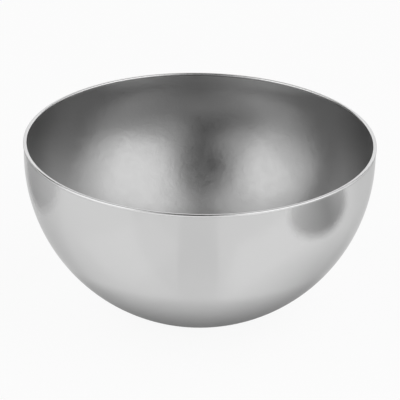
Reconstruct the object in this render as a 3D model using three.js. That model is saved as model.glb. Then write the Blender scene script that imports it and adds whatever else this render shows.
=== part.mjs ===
// A small round nut bowl in stainless steel, with a double wall.
// A satin inner bowl hangs inside a polished outer shell, and air fills the space between them.
// The two sheets lie together at the rim, where one bead joins them. A plate closes the shell's base.
// Millimetres, +Z up, with the origin at the centre of the ring that the bowl stands on.
import * as THREE from "three";

// Overall sizes
const RIM_DIAMETER = 120; // across the outside of the rim bead
const BOWL_HEIGHT = 60; // from the table to the top of the rim
const STRAIGHT_WALL = 4.7; // upright stretch of the wall below the top of the rim
const BASE_DIAMETER = 45.6; // across the flat that the bowl stands on

// Sheet steel
const OUTER_SHEET = 0.5;
const INNER_SHEET = 0.5;
const SEAM_GAP = 0.05; // between the two sheets where they lie together

// Rim bead
const BEAD_HEIGHT = 0.8;
const BEAD_PROUD = 0.2; // how far the bead stands out past the outer shell
const BEAD_SIDE = 0.25; // upright side of the bead, below its round crown

// Base of the outer shell, and the plate let into it
const STAND_WIDTH = 3.8; // width of the ring that touches the table
const FLANGE_LAP = 3; // how far the shell's inner flange reaches over the plate
const PLATE_THICKNESS = 0.5;
const PLATE_RECESS = 0.6; // how far the plate lies above the table
const PLATE_CLEARANCE = 0.1; // round the plate's edge
const WELD_LEG = 0.35; // each leg of the fillet weld round the plate's edge
const AIR_GAP = 5; // from the plate up to the underside of the inner bowl

// Plug that seals the plate's vent hole
const VENT_DIAMETER = 3;
const PLUG_CLEARANCE = 0.1; // round the plug's shank
const PLUG_HEAD_DIAMETER = 6;
const PLUG_HEAD_HEIGHT = 0.4;
const PLUG_REACH = 0.6; // how far the shank stands out above the plate

// Fineness of the turned surfaces
const BOWL_SEGMENTS = 72;
const PLUG_SEGMENTS = 32;
const WALL_STEPS = 12;
const CROWN_STEPS = 8;

// Places that follow from the sizes
const wallRadius = RIM_DIAMETER / 2 - BEAD_PROUD;
const mouthRadius = wallRadius - OUTER_SHEET - SEAM_GAP - INNER_SHEET;
const seamHeight = BOWL_HEIGHT - BEAD_HEIGHT;
const shoulderHeight = BOWL_HEIGHT - STRAIGHT_WALL;
const baseRadius = BASE_DIAMETER / 2;
const recessRadius = baseRadius - STAND_WIDTH;
const flangeRadius = recessRadius - FLANGE_LAP;
const plateRadius = recessRadius - PLATE_CLEARANCE;
const ventRadius = VENT_DIAMETER / 2;
const plateTop = PLATE_RECESS + PLATE_THICKNESS;
const floorHeight = plateTop + AIR_GAP + INNER_SHEET;

const polishedSteel = new THREE.MeshStandardMaterial({ color: 0xcfcfce, roughness: 0.08, metalness: 1 });
const satinSteel = new THREE.MeshStandardMaterial({ color: 0xbdbdbc, roughness: 0.4, metalness: 1 });
const plainSteel = new THREE.MeshStandardMaterial({ color: 0xb4b4b3, roughness: 0.3, metalness: 1 });

// A bowl's wall as points of radius and height: a quarter ellipse that stands upright at its shoulder.
function wallCurve(shoulderRadius, footRadius, footHeight) {
  const footAngle = Math.acos(footRadius / shoulderRadius);
  const depth = (shoulderHeight - footHeight) / Math.sin(footAngle);
  const points = [];
  for (let step = 0; step <= WALL_STEPS; step++) {
    const angle = (footAngle * step) / WALL_STEPS;
    points.push([shoulderRadius * Math.cos(angle), shoulderHeight - depth * Math.sin(angle)]);
  }
  return points;
}

// The angle between the outer shell's wall and the table, where the wall meets the flat base.
function footSlope() {
  const footAngle = Math.acos(baseRadius / wallRadius);
  const depth = shoulderHeight / Math.sin(footAngle);
  return Math.atan2(depth * Math.cos(footAngle), wallRadius * Math.sin(footAngle));
}

// A named solid of revolution about +Z. Its outline runs down the outside and back up the inside.
function turned(name, outline, segments, material) {
  const points = [...outline, outline[0]].map(([radius, height]) => new THREE.Vector2(radius, height));
  const geometry = new THREE.LatheGeometry(points.reverse(), segments);
  geometry.rotateX(Math.PI / 2);
  const mesh = new THREE.Mesh(geometry, material);
  mesh.name = name;
  return mesh;
}

// The polished shell: its wall, the ring it stands on, and a step up to the flange over the plate.
function outerShell() {
  const insideFoot = baseRadius - OUTER_SHEET * Math.tan(footSlope() / 2);
  const inside = wallCurve(wallRadius - OUTER_SHEET, insideFoot, OUTER_SHEET);
  const outline = [
    [wallRadius, seamHeight],
    ...wallCurve(wallRadius, baseRadius, 0),
    [recessRadius, 0],
    [recessRadius, plateTop],
    [flangeRadius, plateTop],
    [flangeRadius, plateTop + OUTER_SHEET],
    [recessRadius + OUTER_SHEET, plateTop + OUTER_SHEET],
    [recessRadius + OUTER_SHEET, OUTER_SHEET],
    ...inside.reverse(),
    [wallRadius - OUTER_SHEET, seamHeight],
  ];
  return turned("outer_shell", outline, BOWL_SEGMENTS, polishedSteel);
}

// The satin bowl that holds the nuts. It hangs from the rim and touches the shell nowhere else.
function innerBowl() {
  const underside = wallCurve(mouthRadius + INNER_SHEET, 0, floorHeight - INNER_SHEET);
  const inside = wallCurve(mouthRadius, 0, floorHeight);
  const outline = [
    [mouthRadius + INNER_SHEET, seamHeight],
    ...underside,
    ...inside.reverse(),
    [mouthRadius, seamHeight],
  ];
  return turned("inner_bowl", outline, BOWL_SEGMENTS, satinSteel);
}

// The weld along both sheets' top edges, ground to a round crown and polished.
function rimBead() {
  const middleRadius = (RIM_DIAMETER / 2 + mouthRadius) / 2;
  const crownWidth = RIM_DIAMETER / 2 - middleRadius;
  const crownFoot = seamHeight + BEAD_SIDE;
  const outline = [[mouthRadius, seamHeight]];
  for (let step = 0; step <= CROWN_STEPS; step++) {
    const angle = Math.PI * (1 - step / CROWN_STEPS);
    const height = crownFoot + (BOWL_HEIGHT - crownFoot) * Math.sin(angle);
    outline.push([middleRadius + crownWidth * Math.cos(angle), height]);
  }
  outline.push([RIM_DIAMETER / 2, seamHeight]);
  return turned("rim_bead", outline, BOWL_SEGMENTS, polishedSteel);
}

// The flat disc that closes the shell, seated under the flange, with a vent hole in its middle.
function basePlate() {
  const outline = [
    [plateRadius, plateTop],
    [plateRadius, PLATE_RECESS],
    [ventRadius, PLATE_RECESS],
    [ventRadius, plateTop],
  ];
  return turned("base_plate", outline, BOWL_SEGMENTS, plainSteel);
}

// The weld that holds the plate: a fillet in the corner between the plate's face and the wall of its recess.
function baseWeld() {
  const outline = [
    [plateRadius, PLATE_RECESS],
    [plateRadius, PLATE_RECESS - WELD_LEG],
    [plateRadius - WELD_LEG, PLATE_RECESS],
  ];
  return turned("base_weld", outline, BOWL_SEGMENTS, plainSteel);
}

// The plug in the vent hole: a flat head under the plate, and a shank up through it.
function ventPlug() {
  const shankRadius = ventRadius - PLUG_CLEARANCE;
  const headRadius = PLUG_HEAD_DIAMETER / 2;
  const headBottom = PLATE_RECESS - PLUG_HEAD_HEIGHT;
  const shankTop = plateTop + PLUG_REACH;
  const outline = [
    [0, shankTop],
    [shankRadius, shankTop],
    [shankRadius, PLATE_RECESS],
    [headRadius, PLATE_RECESS],
    [headRadius, headBottom],
    [0, headBottom],
  ];
  return turned("vent_plug", outline, PLUG_SEGMENTS, plainSteel);
}

const bowl = new THREE.Group();
bowl.add(outerShell(), innerBowl(), rimBead(), basePlate(), baseWeld(), ventPlug());

export default bowl;
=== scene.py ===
# A small double-walled steel nut bowl, dressed over its CAD frame, on a pale table in soft studio light.
# Metres, +Z up. Every piece of the bowl is turned about +Z, in the place of the CAD node that it stands for.
import math

import bmesh
import bpy
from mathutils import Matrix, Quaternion, Vector


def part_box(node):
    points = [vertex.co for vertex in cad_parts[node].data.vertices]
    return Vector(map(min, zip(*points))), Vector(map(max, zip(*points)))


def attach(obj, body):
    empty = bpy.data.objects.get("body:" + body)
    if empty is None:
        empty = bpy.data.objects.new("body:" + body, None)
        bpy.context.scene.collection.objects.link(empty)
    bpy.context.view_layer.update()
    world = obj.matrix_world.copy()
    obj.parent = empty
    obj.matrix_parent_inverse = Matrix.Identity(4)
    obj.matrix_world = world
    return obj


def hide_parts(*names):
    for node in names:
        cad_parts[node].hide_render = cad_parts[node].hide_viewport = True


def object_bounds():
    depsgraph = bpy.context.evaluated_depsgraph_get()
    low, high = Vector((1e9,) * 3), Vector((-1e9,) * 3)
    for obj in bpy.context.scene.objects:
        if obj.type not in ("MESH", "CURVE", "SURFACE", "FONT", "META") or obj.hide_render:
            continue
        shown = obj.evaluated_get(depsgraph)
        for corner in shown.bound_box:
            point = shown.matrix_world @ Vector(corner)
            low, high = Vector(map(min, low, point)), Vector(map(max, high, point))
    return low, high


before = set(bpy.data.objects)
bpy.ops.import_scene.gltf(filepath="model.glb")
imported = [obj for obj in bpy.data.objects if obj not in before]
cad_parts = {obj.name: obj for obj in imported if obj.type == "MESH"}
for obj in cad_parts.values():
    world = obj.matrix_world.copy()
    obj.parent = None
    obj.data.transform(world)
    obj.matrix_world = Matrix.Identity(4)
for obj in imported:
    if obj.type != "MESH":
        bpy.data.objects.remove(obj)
cad_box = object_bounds()

MM = 0.001

# Sizes read from the frame
rim_radius = cad_box[1].x
rim_height = cad_box[1].z
wall_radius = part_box("outer_shell")[1].x
seam_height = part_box("outer_shell")[1].z
inner_low, inner_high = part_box("inner_bowl")
bead_low, bead_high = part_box("rim_bead")
plate_low, plate_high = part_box("base_plate")
weld_low, weld_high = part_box("base_weld")
plug_low, plug_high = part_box("vent_plug")

# Sizes that the frame's boxes don't give
SHEET = 0.5 * MM  # each of the two steel sheets
STRAIGHT_WALL = 4.7 * MM  # upright stretch of the wall below the top of the rim
BASE_RADIUS = 22.8 * MM  # outside of the ring that the bowl stands on
RECESS_RADIUS = 19 * MM  # inside of that ring
FOOT_INSET = 0.2 * MM  # from the ring's outside to the inside of the wall above it
FLANGE_RADIUS = 16 * MM  # inner edge of the flange over the base plate
BEAD_SIDE = 0.25 * MM  # upright side of the rim bead, below its crown
CROWN_FLATNESS = 2.9  # power of the crown's oval: 2 is a plain oval, and more is flatter
WELD_BULGE = 0.6  # share of the base weld's leg from its corner to its bulged face, both ways
VENT_RADIUS = 1.5 * MM
SHANK_RADIUS = 1.4 * MM

# Rounded corners
FOOT_ROUND = 1.5 * MM  # where the wall turns under into the standing ring
FOLD_ROUND = 0.4 * MM  # folds of the sheet
EDGE_ROUND = 0.12 * MM  # cut edges
ROUND_SHARE = 0.45  # most of a straight stretch that the round at one end takes up

# Fineness of the turned surfaces
BOWL_SEGMENTS = 256
PLUG_SEGMENTS = 64
WALL_STEPS = 72
ROUND_STEPS = 6
CROWN_STEPS = 28
ON_AXIS = 1e-7  # a smaller radius is a point on the axis

# The middle of a noise's range, where most of it lies
NOISE_LOW = 0.3
NOISE_HIGH = 0.7

shoulder_height = rim_height - STRAIGHT_WALL
mouth_radius = inner_high.x - SHEET


def arc_points(before, corner, after, radius):
    """Points of a round of this radius at a corner between two straight stretches."""
    to_before = (before - corner).normalized()
    to_after = (after - corner).normalized()
    half = to_before.angle(to_after) / 2
    room = ROUND_SHARE * min((before - corner).length, (after - corner).length)
    reach = min(radius / math.tan(half), room)
    start = corner + to_before * reach
    end = corner + to_after * reach
    points = []
    for step in range(ROUND_STEPS + 1):
        t = step / ROUND_STEPS
        points.append(start * (1 - t) ** 2 + corner * 2 * t * (1 - t) + end * t ** 2)
    return points


def rounded(corners):
    """A closed outline from (radius, height, round) corners, with each round worked out."""
    spots = [Vector((radius, height)) for radius, height, _ in corners]
    outline = []
    for index, (_, _, round_radius) in enumerate(corners):
        before = spots[index - 1]
        after = spots[(index + 1) % len(spots)]
        if round_radius > 0:
            outline += arc_points(before, spots[index], after, round_radius)
        else:
            outline.append(spots[index])
    return outline


def wall_corners(shoulder_radius, foot_radius, foot_height):
    """A bowl's wall from its shoulder down to its foot, as corners with no rounds."""
    foot_angle = math.acos(foot_radius / shoulder_radius)
    depth = (shoulder_height - foot_height) / math.sin(foot_angle)
    corners = []
    for step in range(WALL_STEPS + 1):
        angle = foot_angle * step / WALL_STEPS
        corners.append((shoulder_radius * math.cos(angle), shoulder_height - depth * math.sin(angle), 0))
    return corners


def turned(name, outline, segments):
    """A closed mesh turned about +Z from an outline that runs down the outside and up the inside."""
    shape = bmesh.new()
    rings = []
    for spot in outline:
        radius, height = spot
        if radius < ON_AXIS:
            rings.append([shape.verts.new((0, 0, height))])
            continue
        ring = []
        for index in range(segments):
            angle = 2 * math.pi * index / segments
            ring.append(shape.verts.new((radius * math.cos(angle), radius * math.sin(angle), height)))
        rings.append(ring)
    for index, ring in enumerate(rings):
        following = rings[(index + 1) % len(rings)]
        if len(ring) == 1 and len(following) == 1:
            continue
        for here in range(segments):
            there = (here + 1) % segments
            if len(ring) == 1:
                shape.faces.new((ring[0], following[here], following[there]))
            elif len(following) == 1:
                shape.faces.new((ring[here], following[0], ring[there]))
            else:
                shape.faces.new((ring[here], following[here], following[there], ring[there]))
    bmesh.ops.recalc_face_normals(shape, faces=shape.faces)
    mesh = bpy.data.meshes.new(name)
    shape.to_mesh(mesh)
    shape.free()
    mesh.shade_smooth()
    return add_object(name, mesh)


def add_object(name, data):
    """An object of the scene with this mesh, lamp or camera."""
    thing = bpy.data.objects.new(name, data)
    bpy.context.scene.collection.objects.link(thing)
    return thing


def math_node(tree, operation, first, second=0):
    """A math node's output. Each input is a number or another node's output."""
    node = tree.nodes.new("ShaderNodeMath")
    node.operation = operation
    for socket, value in zip(node.inputs, (first, second)):
        if isinstance(value, (int, float)):
            socket.default_value = value
        else:
            tree.links.new(value, socket)
    return node.outputs[0]


def vector_node(tree, operation, first, second=None):
    """A vector math node's output, with other nodes' outputs as its inputs."""
    node = tree.nodes.new("ShaderNodeVectorMath")
    node.operation = operation
    tree.links.new(first, node.inputs[0])
    if second is not None:
        tree.links.new(second, node.inputs["Scale" if operation == "SCALE" else 1])
    return node.outputs["Value" if operation == "LENGTH" else "Vector"]


def remap(tree, value, from_low, from_high, to_low, to_high):
    """A node's output taken from one range to another, and held within it."""
    node = tree.nodes.new("ShaderNodeMapRange")
    node.inputs["From Min"].default_value = from_low
    node.inputs["From Max"].default_value = from_high
    node.inputs["To Min"].default_value = to_low
    node.inputs["To Max"].default_value = to_high
    tree.links.new(value, node.inputs["Value"])
    return node.outputs[0]


def own_place(tree):
    """Where a spot of the surface is, in its object's own frame."""
    return tree.nodes.new("ShaderNodeTexCoord").outputs["Object"]


def split_place(tree):
    """The X, Y and Z of that place."""
    split = tree.nodes.new("ShaderNodeSeparateXYZ")
    tree.links.new(own_place(tree), split.inputs[0])
    return split.outputs


def turned_marks(tree, per_turn, per_metre, detail):
    """Noise whose marks run round the bowl, so many to a turn, and so many to a metre across them."""
    place = split_place(tree)
    level = tree.nodes.new("ShaderNodeCombineXYZ")
    tree.links.new(place["X"], level.inputs["X"])
    tree.links.new(place["Y"], level.inputs["Y"])
    radius = vector_node(tree, "LENGTH", level.outputs[0])
    stretch = math_node(tree, "DIVIDE", per_turn / (2 * math.pi), radius)
    heading = vector_node(tree, "SCALE", level.outputs[0], stretch)
    climb = tree.nodes.new("ShaderNodeCombineXYZ")
    tree.links.new(math_node(tree, "MULTIPLY", place["Z"], per_metre), climb.inputs["Z"])
    noise = tree.nodes.new("ShaderNodeTexNoise")
    noise.noise_dimensions = "4D"
    noise.inputs["Scale"].default_value = 1
    noise.inputs["Detail"].default_value = detail
    tree.links.new(vector_node(tree, "ADD", heading, climb.outputs[0]), noise.inputs["Vector"])
    tree.links.new(math_node(tree, "MULTIPLY", radius, per_metre), noise.inputs["W"])
    return noise.outputs["Fac"]


def cloudy_marks(tree, per_metre, detail, swirl):
    """Noise with no direction, so many marks to a metre."""
    noise = tree.nodes.new("ShaderNodeTexNoise")
    noise.inputs["Scale"].default_value = per_metre
    noise.inputs["Detail"].default_value = detail
    noise.inputs["Distortion"].default_value = swirl
    tree.links.new(own_place(tree), noise.inputs["Vector"])
    return noise.outputs["Fac"]


def vary_roughness(tree, shader, marks, low, high):
    """Lets marks move a surface's roughness between two values."""
    roughness = remap(tree, marks, NOISE_LOW, NOISE_HIGH, low, high)
    tree.links.new(roughness, shader.inputs["Roughness"])


def relief(tree, marks, depth, under=None):
    """Marks as a relief of this depth, over another relief if there is one."""
    bump = tree.nodes.new("ShaderNodeBump")
    bump.inputs["Strength"].default_value = 1
    bump.inputs["Distance"].default_value = depth
    tree.links.new(marks, bump.inputs["Height"])
    if under is not None:
        tree.links.new(under, bump.inputs["Normal"])
    return bump.outputs[0]


def steel(name, grey, edge_grey):
    """A bare steel material, with its node tree and its shader. The edge grey tints grazing reflections."""
    material = bpy.data.materials.new(name)
    material.use_nodes = True
    tree = material.node_tree
    shader = tree.nodes["Principled BSDF"]
    shader.inputs["Base Color"].default_value = (grey, grey, grey, 1)
    shader.inputs["Metallic"].default_value = 1
    shader.inputs["Specular Tint"].default_value = (edge_grey, edge_grey, edge_grey, 1)
    return material, tree, shader


def polished_steel():
    """A near mirror, with faint polishing lines round the bowl and a breath of haze."""
    material, tree, shader = steel("polished_finish", grey=0.7, edge_grey=0.74)
    haze = cloudy_marks(tree, per_metre=55, detail=3, swirl=0.4)
    vary_roughness(tree, shader, haze, low=0.13, high=0.165)
    lines = turned_marks(tree, per_turn=9, per_metre=3500, detail=2)
    tree.links.new(relief(tree, lines, depth=0.002 * MM), shader.inputs["Normal"])
    return material


def ground_steel():
    """A ground and buffed edge, with fine lines along it."""
    material, tree, shader = steel("ground_finish", grey=0.85, edge_grey=0.5)
    haze = cloudy_marks(tree, per_metre=120, detail=3, swirl=0.4)
    vary_roughness(tree, shader, haze, low=0.16, high=0.21)
    lines = turned_marks(tree, per_turn=9, per_metre=4000, detail=2)
    tree.links.new(relief(tree, lines, depth=0.003 * MM), shader.inputs["Normal"])
    return material


def satin_steel():
    """A soft sheen, with short fine strokes over faint swirls."""
    material, tree, shader = steel("satin_finish", grey=0.485, edge_grey=1)
    wisps = cloudy_marks(tree, per_metre=260, detail=4, swirl=0.6)
    vary_roughness(tree, shader, wisps, low=0.285, high=0.34)
    strokes = turned_marks(tree, per_turn=90, per_metre=2600, detail=3)
    swirls = cloudy_marks(tree, per_metre=300, detail=2, swirl=1.2)
    ground = relief(tree, strokes, depth=0.006 * MM)
    tree.links.new(relief(tree, swirls, depth=0.042 * MM, under=ground), shader.inputs["Normal"])
    return material


def plain_steel():
    """Rolled sheet with turning rings, dulled by handling."""
    material, tree, shader = steel("plain_finish", grey=0.5, edge_grey=0.8)
    stains = cloudy_marks(tree, per_metre=180, detail=4, swirl=0.6)
    vary_roughness(tree, shader, stains, low=0.24, high=0.4)
    rings = turned_marks(tree, per_turn=6, per_metre=2200, detail=3)
    tree.links.new(relief(tree, rings, depth=0.008 * MM), shader.inputs["Normal"])
    return material


def dress(piece, node, material):
    """Puts a piece in the place of a CAD node."""
    piece.data.materials.append(material)
    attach(piece, "root")
    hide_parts(node)


def outer_shell():
    """The polished shell: its wall, the standing ring, and the flange over the base plate."""
    plate_top = plate_high.z
    wall = wall_corners(wall_radius, BASE_RADIUS, 0)
    wall[-1] = (*wall[-1][:2], FOOT_ROUND)
    inside = wall_corners(wall_radius - SHEET, BASE_RADIUS - FOOT_INSET, SHEET)
    inside[-1] = (*inside[-1][:2], FOOT_ROUND)
    corners = [
        (wall_radius, seam_height, EDGE_ROUND),
        *wall,
        (RECESS_RADIUS, 0, FOLD_ROUND),
        (RECESS_RADIUS, plate_top, EDGE_ROUND),
        (FLANGE_RADIUS, plate_top, EDGE_ROUND),
        (FLANGE_RADIUS, plate_top + SHEET, EDGE_ROUND),
        (RECESS_RADIUS + SHEET, plate_top + SHEET, FOLD_ROUND),
        (RECESS_RADIUS + SHEET, SHEET, EDGE_ROUND),
        *reversed(inside),
        (wall_radius - SHEET, seam_height, EDGE_ROUND),
    ]
    return turned("outer_shell_skin", rounded(corners), BOWL_SEGMENTS)


def inner_bowl():
    """The satin bowl that holds the nuts."""
    underside = wall_corners(mouth_radius + SHEET, 0, inner_low.z)
    inside = wall_corners(mouth_radius, 0, inner_low.z + SHEET)
    corners = [
        (mouth_radius + SHEET, seam_height, EDGE_ROUND),
        *underside,
        *reversed(inside),
        (mouth_radius, seam_height, EDGE_ROUND),
    ]
    return turned("inner_bowl_skin", rounded(corners), BOWL_SEGMENTS)


def rim_bead():
    """The ground and buffed weld along both sheets' edges, with a flattened oval crown."""
    middle = (bead_high.x + mouth_radius) / 2
    half_width = bead_high.x - middle
    crown_foot = bead_low.z + BEAD_SIDE
    crown_height = bead_high.z - crown_foot
    power = 2 / CROWN_FLATNESS
    outline = [Vector((bead_high.x, bead_low.z))]
    for step in range(CROWN_STEPS + 1):
        angle = math.pi * step / CROWN_STEPS
        across = math.copysign(abs(math.cos(angle)) ** power, math.cos(angle))
        rise = abs(math.sin(angle)) ** power
        outline.append(Vector((middle + half_width * across, crown_foot + crown_height * rise)))
    outline.append(Vector((mouth_radius, bead_low.z)))
    return turned("rim_bead_skin", outline, BOWL_SEGMENTS)


def base_plate():
    """The disc that closes the shell, with the vent hole in its middle."""
    corners = [
        (plate_high.x, plate_high.z, EDGE_ROUND),
        (plate_high.x, plate_low.z, EDGE_ROUND),
        (VENT_RADIUS, plate_low.z, EDGE_ROUND),
        (VENT_RADIUS, plate_high.z, EDGE_ROUND),
    ]
    return turned("base_plate_skin", rounded(corners), BOWL_SEGMENTS)


def base_weld():
    """The fillet of weld round the plate's edge."""
    leg = weld_high.z - weld_low.z
    bulge = leg * WELD_BULGE
    corners = [
        (weld_high.x, weld_high.z, 0),
        (weld_high.x, weld_low.z, 0),
        (weld_high.x - bulge, weld_high.z - bulge, EDGE_ROUND),
        (weld_high.x - leg, weld_high.z, 0),
    ]
    return turned("base_weld_skin", rounded(corners), BOWL_SEGMENTS)


def vent_plug():
    """The plug in the vent hole."""
    corners = [
        (0, plug_high.z, 0),
        (SHANK_RADIUS, plug_high.z, EDGE_ROUND),
        (SHANK_RADIUS, plate_low.z, 0),
        (plug_high.x, plate_low.z, EDGE_ROUND),
        (plug_high.x, plug_low.z, EDGE_ROUND),
        (0, plug_low.z, 0),
    ]
    return turned("vent_plug_skin", rounded(corners), PLUG_SEGMENTS)


# The bowl
plain = plain_steel()
dress(outer_shell(), "outer_shell", polished_steel())
dress(inner_bowl(), "inner_bowl", satin_steel())
dress(rim_bead(), "rim_bead", ground_steel())
dress(base_plate(), "base_plate", plain)
dress(base_weld(), "base_weld", plain)
dress(vent_plug(), "vent_plug", plain)

# The camera
CAMERA_DISTANCE = 14.3 * rim_radius  # from the middle of the rim
CAMERA_ELEVATION = math.radians(23.78)
CAMERA_ROLL = math.radians(0.98)
CAMERA_AIM = Vector((0.35 * MM, 0, 37.2 * MM))
CAMERA_LENS = 227.2  # in millimetres, as is the sensor's width
CAMERA_SENSOR = 36.0
CAMERA_REACH = 20  # how far the camera sees


def add_camera():
    """A camera at the photograph's viewing angle."""
    data = bpy.data.cameras.new("camera")
    data.sensor_width = CAMERA_SENSOR
    data.lens = CAMERA_LENS
    data.clip_end = CAMERA_REACH
    camera = add_object("camera", data)
    outward = Vector((0, -math.cos(CAMERA_ELEVATION), math.sin(CAMERA_ELEVATION)))
    camera.location = Vector((0, 0, rim_height)) + outward * CAMERA_DISTANCE
    turn = (CAMERA_AIM - camera.location).to_track_quat("-Z", "Y")
    camera.rotation_mode = "QUATERNION"
    camera.rotation_quaternion = turn @ Quaternion((0, 0, 1), CAMERA_ROLL)
    bpy.context.scene.camera = camera


# The table and the room
FLOOR_HALF = 3.0
FLOOR_GREY = 0.9
BACKDROP_HEIGHT = 0.45  # of the low upright edge all round the table
CAMERA_GLOW = 0.92  # share of plain white in what the camera sees of the table
MIRROR_GLOW = 0.7  # share of shaded white in what the steel mirrors of the table
CONTACT_REACH = 0.0172  # how far the bowl's soft contact shadow spreads
CONTACT_LEFT = 0.25  # white that is left where that shadow is deepest
SHEEN_SHARE = 0.08  # share of a soft gloss in what the steel mirrors of the table
SHEEN_ROUGHNESS = 0.15
ROOM_GREY = 0.05


def table_mesh():
    """A square table with a low upright edge all round."""
    square = [(x * FLOOR_HALF, y * FLOOR_HALF) for x, y in ((-1, -1), (1, -1), (1, 1), (-1, 1))]
    corners = [(x, y, height) for height in (0, BACKDROP_HEIGHT) for x, y in square]
    sides = [(side, (side + 1) % 4, (side + 1) % 4 + 4, side + 4) for side in range(4)]
    mesh = bpy.data.meshes.new("floor")
    mesh.from_pydata(corners, [], [(0, 1, 2, 3), *sides])
    return mesh


def mix_shaders(tree, share, first, second):
    """A mix of two shaders, with this share of the second."""
    mix = tree.nodes.new("ShaderNodeMixShader")
    tree.links.new(share, mix.inputs["Fac"])
    tree.links.new(first, mix.inputs[1])
    tree.links.new(second, mix.inputs[2])
    return mix.outputs[0]


def table_material():
    """Pale, and white to the camera and to the steel. The steel also sees a contact shadow and a sheen."""
    material = bpy.data.materials.new("pale_table")
    material.use_nodes = True
    tree = material.node_tree
    tree.nodes.clear()
    path = tree.nodes.new("ShaderNodeLightPath").outputs
    diffuse = tree.nodes.new("ShaderNodeBsdfDiffuse")
    diffuse.inputs["Color"].default_value = (FLOOR_GREY, FLOOR_GREY, FLOOR_GREY, 1)
    contact = tree.nodes.new("ShaderNodeAmbientOcclusion")
    contact.inputs["Distance"].default_value = CONTACT_REACH
    shaded = remap(tree, contact.outputs["AO"], 0, 1, CONTACT_LEFT, 1)
    glow = tree.nodes.new("ShaderNodeEmission")
    whiteness = math_node(tree, "MAXIMUM", path["Is Camera Ray"], shaded)
    tree.links.new(whiteness, glow.inputs["Strength"])
    to_camera = math_node(tree, "MULTIPLY", path["Is Camera Ray"], CAMERA_GLOW)
    shiny = math_node(tree, "MAXIMUM", path["Is Glossy Ray"], path["Is Transmission Ray"])
    to_mirror = math_node(tree, "MULTIPLY", shiny, MIRROR_GLOW)
    glow_share = math_node(tree, "MAXIMUM", to_camera, to_mirror)
    matt = mix_shaders(tree, glow_share, diffuse.outputs[0], glow.outputs[0])
    sheen = tree.nodes.new("ShaderNodeBsdfGlossy")
    sheen.inputs["Roughness"].default_value = SHEEN_ROUGHNESS
    sheen_share = math_node(tree, "MULTIPLY", path["Is Glossy Ray"], SHEEN_SHARE)
    surface = mix_shaders(tree, sheen_share, matt, sheen.outputs[0])
    out = tree.nodes.new("ShaderNodeOutputMaterial")
    tree.links.new(surface, out.inputs["Surface"])
    return material


def add_floor():
    """The pale table with its low backdrop."""
    mesh = table_mesh()
    mesh.materials.append(table_material())
    add_object("floor", mesh)


def add_world():
    """A dim grey room."""
    world = bpy.data.worlds.new("world")
    bpy.context.scene.world = world
    world.use_nodes = True
    background = world.node_tree.nodes["Background"]
    background.inputs["Color"].default_value = (1, 1, 1, 1)
    background.inputs["Strength"].default_value = ROOM_GREY


# Flat pieces on the table that show only in the steel: two grey cards, which are painted shade for the
# shadows and dark sides of things beside the bowl, and two soft painted shadows
OVAL_RADIUS = 0.5  # of an oval before it is scaled
OVAL_SEGMENTS = 96
CARD_DISTANCE = 0.208  # from the bowl's axis to the middle of each card
CARD_LENGTH = 0.226
CARD_WIDTH = 0.15
CARD_FADE = 0.17  # share of each card's half width over which its edge fades out
CARD_DARKEST = 0.08  # share of a card's width from its middle back to its darkest line
CARD_TURN = math.radians(-18.7)  # of the line through both cards, from +X
CARD_LIFT = 0.5 * MM  # above the table, each flat piece at its own height
FRONT_SHADE = 0.06  # darkness of the wedge where the bowl's shadows overlap in front of it
FRONT_SHADE_START = 0.05  # from the bowl's axis
FRONT_SHADE_FULL = 0.085  # from the axis to where the wedge has its full darkness
FRONT_SHADE_END = 0.32
FRONT_SHADE_ANGLE = math.radians(10)  # from the wedge's middle to each side
FRONT_SHADE_LIFT = 0.3 * MM
BASE_SHADE = 0.2  # greatest darkness of the soft shadow beside the base
BASE_SHADE_PLACE = (0.05, -0.015)
BASE_SHADE_SIZE = (0.1, 0.1)
BASE_SHADE_LIFT = 0.2 * MM


def oval_mesh(name):
    """A flat round, which becomes an oval when it is scaled."""
    shape = bmesh.new()
    bmesh.ops.create_circle(shape, cap_ends=True, segments=OVAL_SEGMENTS, radius=OVAL_RADIUS)
    mesh = bpy.data.meshes.new(name)
    shape.to_mesh(mesh)
    shape.free()
    return mesh


def matt_material(name):
    """A matt black material, with its node tree and its shader."""
    material = bpy.data.materials.new(name)
    material.use_nodes = True
    tree = material.node_tree
    shader = tree.nodes["Principled BSDF"]
    shader.inputs["Base Color"].default_value = (0, 0, 0, 1)
    shader.inputs["Roughness"].default_value = 1
    shader.inputs["Specular IOR Level"].default_value = 0
    return material, tree, shader


def fade_out(tree, shader, start, most):
    """Lets an oval's darkness fall from its most, at this share of its half width, to nothing at its edge."""
    from_middle = vector_node(tree, "LENGTH", own_place(tree))
    darkness = remap(tree, from_middle, OVAL_RADIUS * start, OVAL_RADIUS, most, 0)
    tree.links.new(darkness, shader.inputs["Alpha"])


def lay_on_table(mesh, material, height):
    """A flat piece on the table, which shows only in the steel."""
    mesh.materials.append(material)
    piece = add_object(mesh.name, mesh)
    piece.location.z = height
    piece.visible_camera = False
    piece.visible_diffuse = False
    piece.visible_shadow = False
    return piece


def add_shade_card(name, distance, pale_grey, dark_grey):
    """An oval card on the table, out of the picture, which is darkest a little behind its middle. Its greys
    are painted shade, for the shadows and dark sides of things beside the bowl.
    """
    material, tree, shader = matt_material(name)
    behind = math_node(tree, "SUBTRACT", split_place(tree)["Y"], CARD_DARKEST)
    aside = math_node(tree, "ABSOLUTE", behind)
    grey = remap(tree, aside, 0, OVAL_RADIUS + CARD_DARKEST, dark_grey, pale_grey)
    tree.links.new(grey, shader.inputs["Base Color"])
    fade_out(tree, shader, start=1 - CARD_FADE, most=1)
    card = lay_on_table(oval_mesh(name), material, CARD_LIFT)
    card.location.x = distance * math.cos(CARD_TURN)
    card.location.y = distance * math.sin(CARD_TURN)
    card.rotation_euler = (0, 0, CARD_TURN)
    card.scale = (CARD_LENGTH, CARD_WIDTH, 1)


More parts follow.
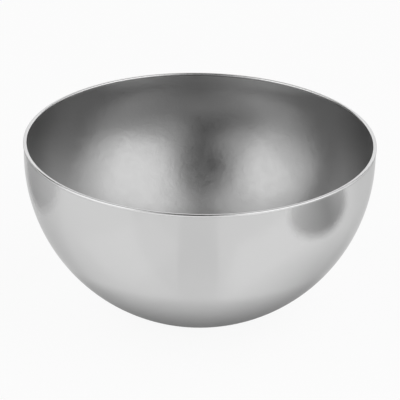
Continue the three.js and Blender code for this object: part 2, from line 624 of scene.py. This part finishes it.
def add_front_shade():
    """The faint wedge in front of the bowl, which fades in from its near end."""
    near, far = FRONT_SHADE_START, FRONT_SHADE_END
    corners = []
    for reach, side in ((near, -1), (far, -1), (far, 1), (near, 1)):
        corners.append((side * reach * math.tan(FRONT_SHADE_ANGLE), -reach, 0))
    mesh = bpy.data.meshes.new("front_shade")
    mesh.from_pydata(corners, [], [(0, 1, 2, 3)])
    material, tree, shader = matt_material("front_shade")
    darkness = remap(tree, split_place(tree)["Y"], -FRONT_SHADE_FULL, -near, FRONT_SHADE, 0)
    tree.links.new(darkness, shader.inputs["Alpha"])
    lay_on_table(mesh, material, FRONT_SHADE_LIFT)


def add_base_shade():
    """The soft shadow beside the base, to its right."""
    material, tree, shader = matt_material("base_shade")
    fade_out(tree, shader, start=0, most=BASE_SHADE)
    shade = lay_on_table(oval_mesh("base_shade"), material, BASE_SHADE_LIFT)
    shade.location.x, shade.location.y = BASE_SHADE_PLACE
    shade.scale = (*BASE_SHADE_SIZE, 1)


def add_softbox(name, azimuth, elevation, distance, width, height, roll, radiance):
    """An area light aimed at the bowl, with its angles in degrees.

    Azimuth counts from the camera's side, positive to the right.
    """
    data = bpy.data.lights.new(name, "AREA")
    data.shape = "RECTANGLE"
    data.size = width
    data.size_y = height
    data.energy = radiance * math.pi * width * height
    light = add_object(name, data)
    turn = math.radians(azimuth)
    rise = math.radians(elevation)
    level = math.cos(rise) * distance
    light.location = (math.sin(turn) * level, -math.cos(turn) * level, math.sin(rise) * distance)
    facing = (-light.location).to_track_quat("-Z", "Y")
    light.rotation_mode = "QUATERNION"
    light.rotation_quaternion = facing @ Quaternion((0, 0, 1), math.radians(roll))
    light.visible_camera = False


# The stage
add_camera()
add_floor()
add_world()
# Painted shade: two grey cards that the steel mirrors as the shadows and dark sides of things beside the bowl
add_shade_card("right_shade_card", CARD_DISTANCE, pale_grey=0.94, dark_grey=0.44)
add_shade_card("left_shade_card", -CARD_DISTANCE, pale_grey=0.98, dark_grey=0.82)
add_front_shade()
add_base_shade()
add_softbox("left_key", azimuth=-51.1, elevation=43.6, distance=1.0,
            width=0.52, height=1.21, roll=61, radiance=0.54)
add_softbox("left_fill", azimuth=-77.6, elevation=41.9, distance=1.0,
            width=0.98, height=1.66, roll=26, radiance=0.83)
add_softbox("right_key", azimuth=51.6, elevation=42.1, distance=1.0,
            width=1.71, height=0.83, roll=42, radiance=0.48)
add_softbox("right_fill", azimuth=83.1, elevation=45.7, distance=1.0,
            width=1.37, height=1.38, roll=41, radiance=0.89)
add_softbox("back_softbox", azimuth=180, elevation=20, distance=1.6,
            width=3.0, height=1.1, roll=0, radiance=0.97)

bpy.context.scene.view_settings.view_transform = "Standard"
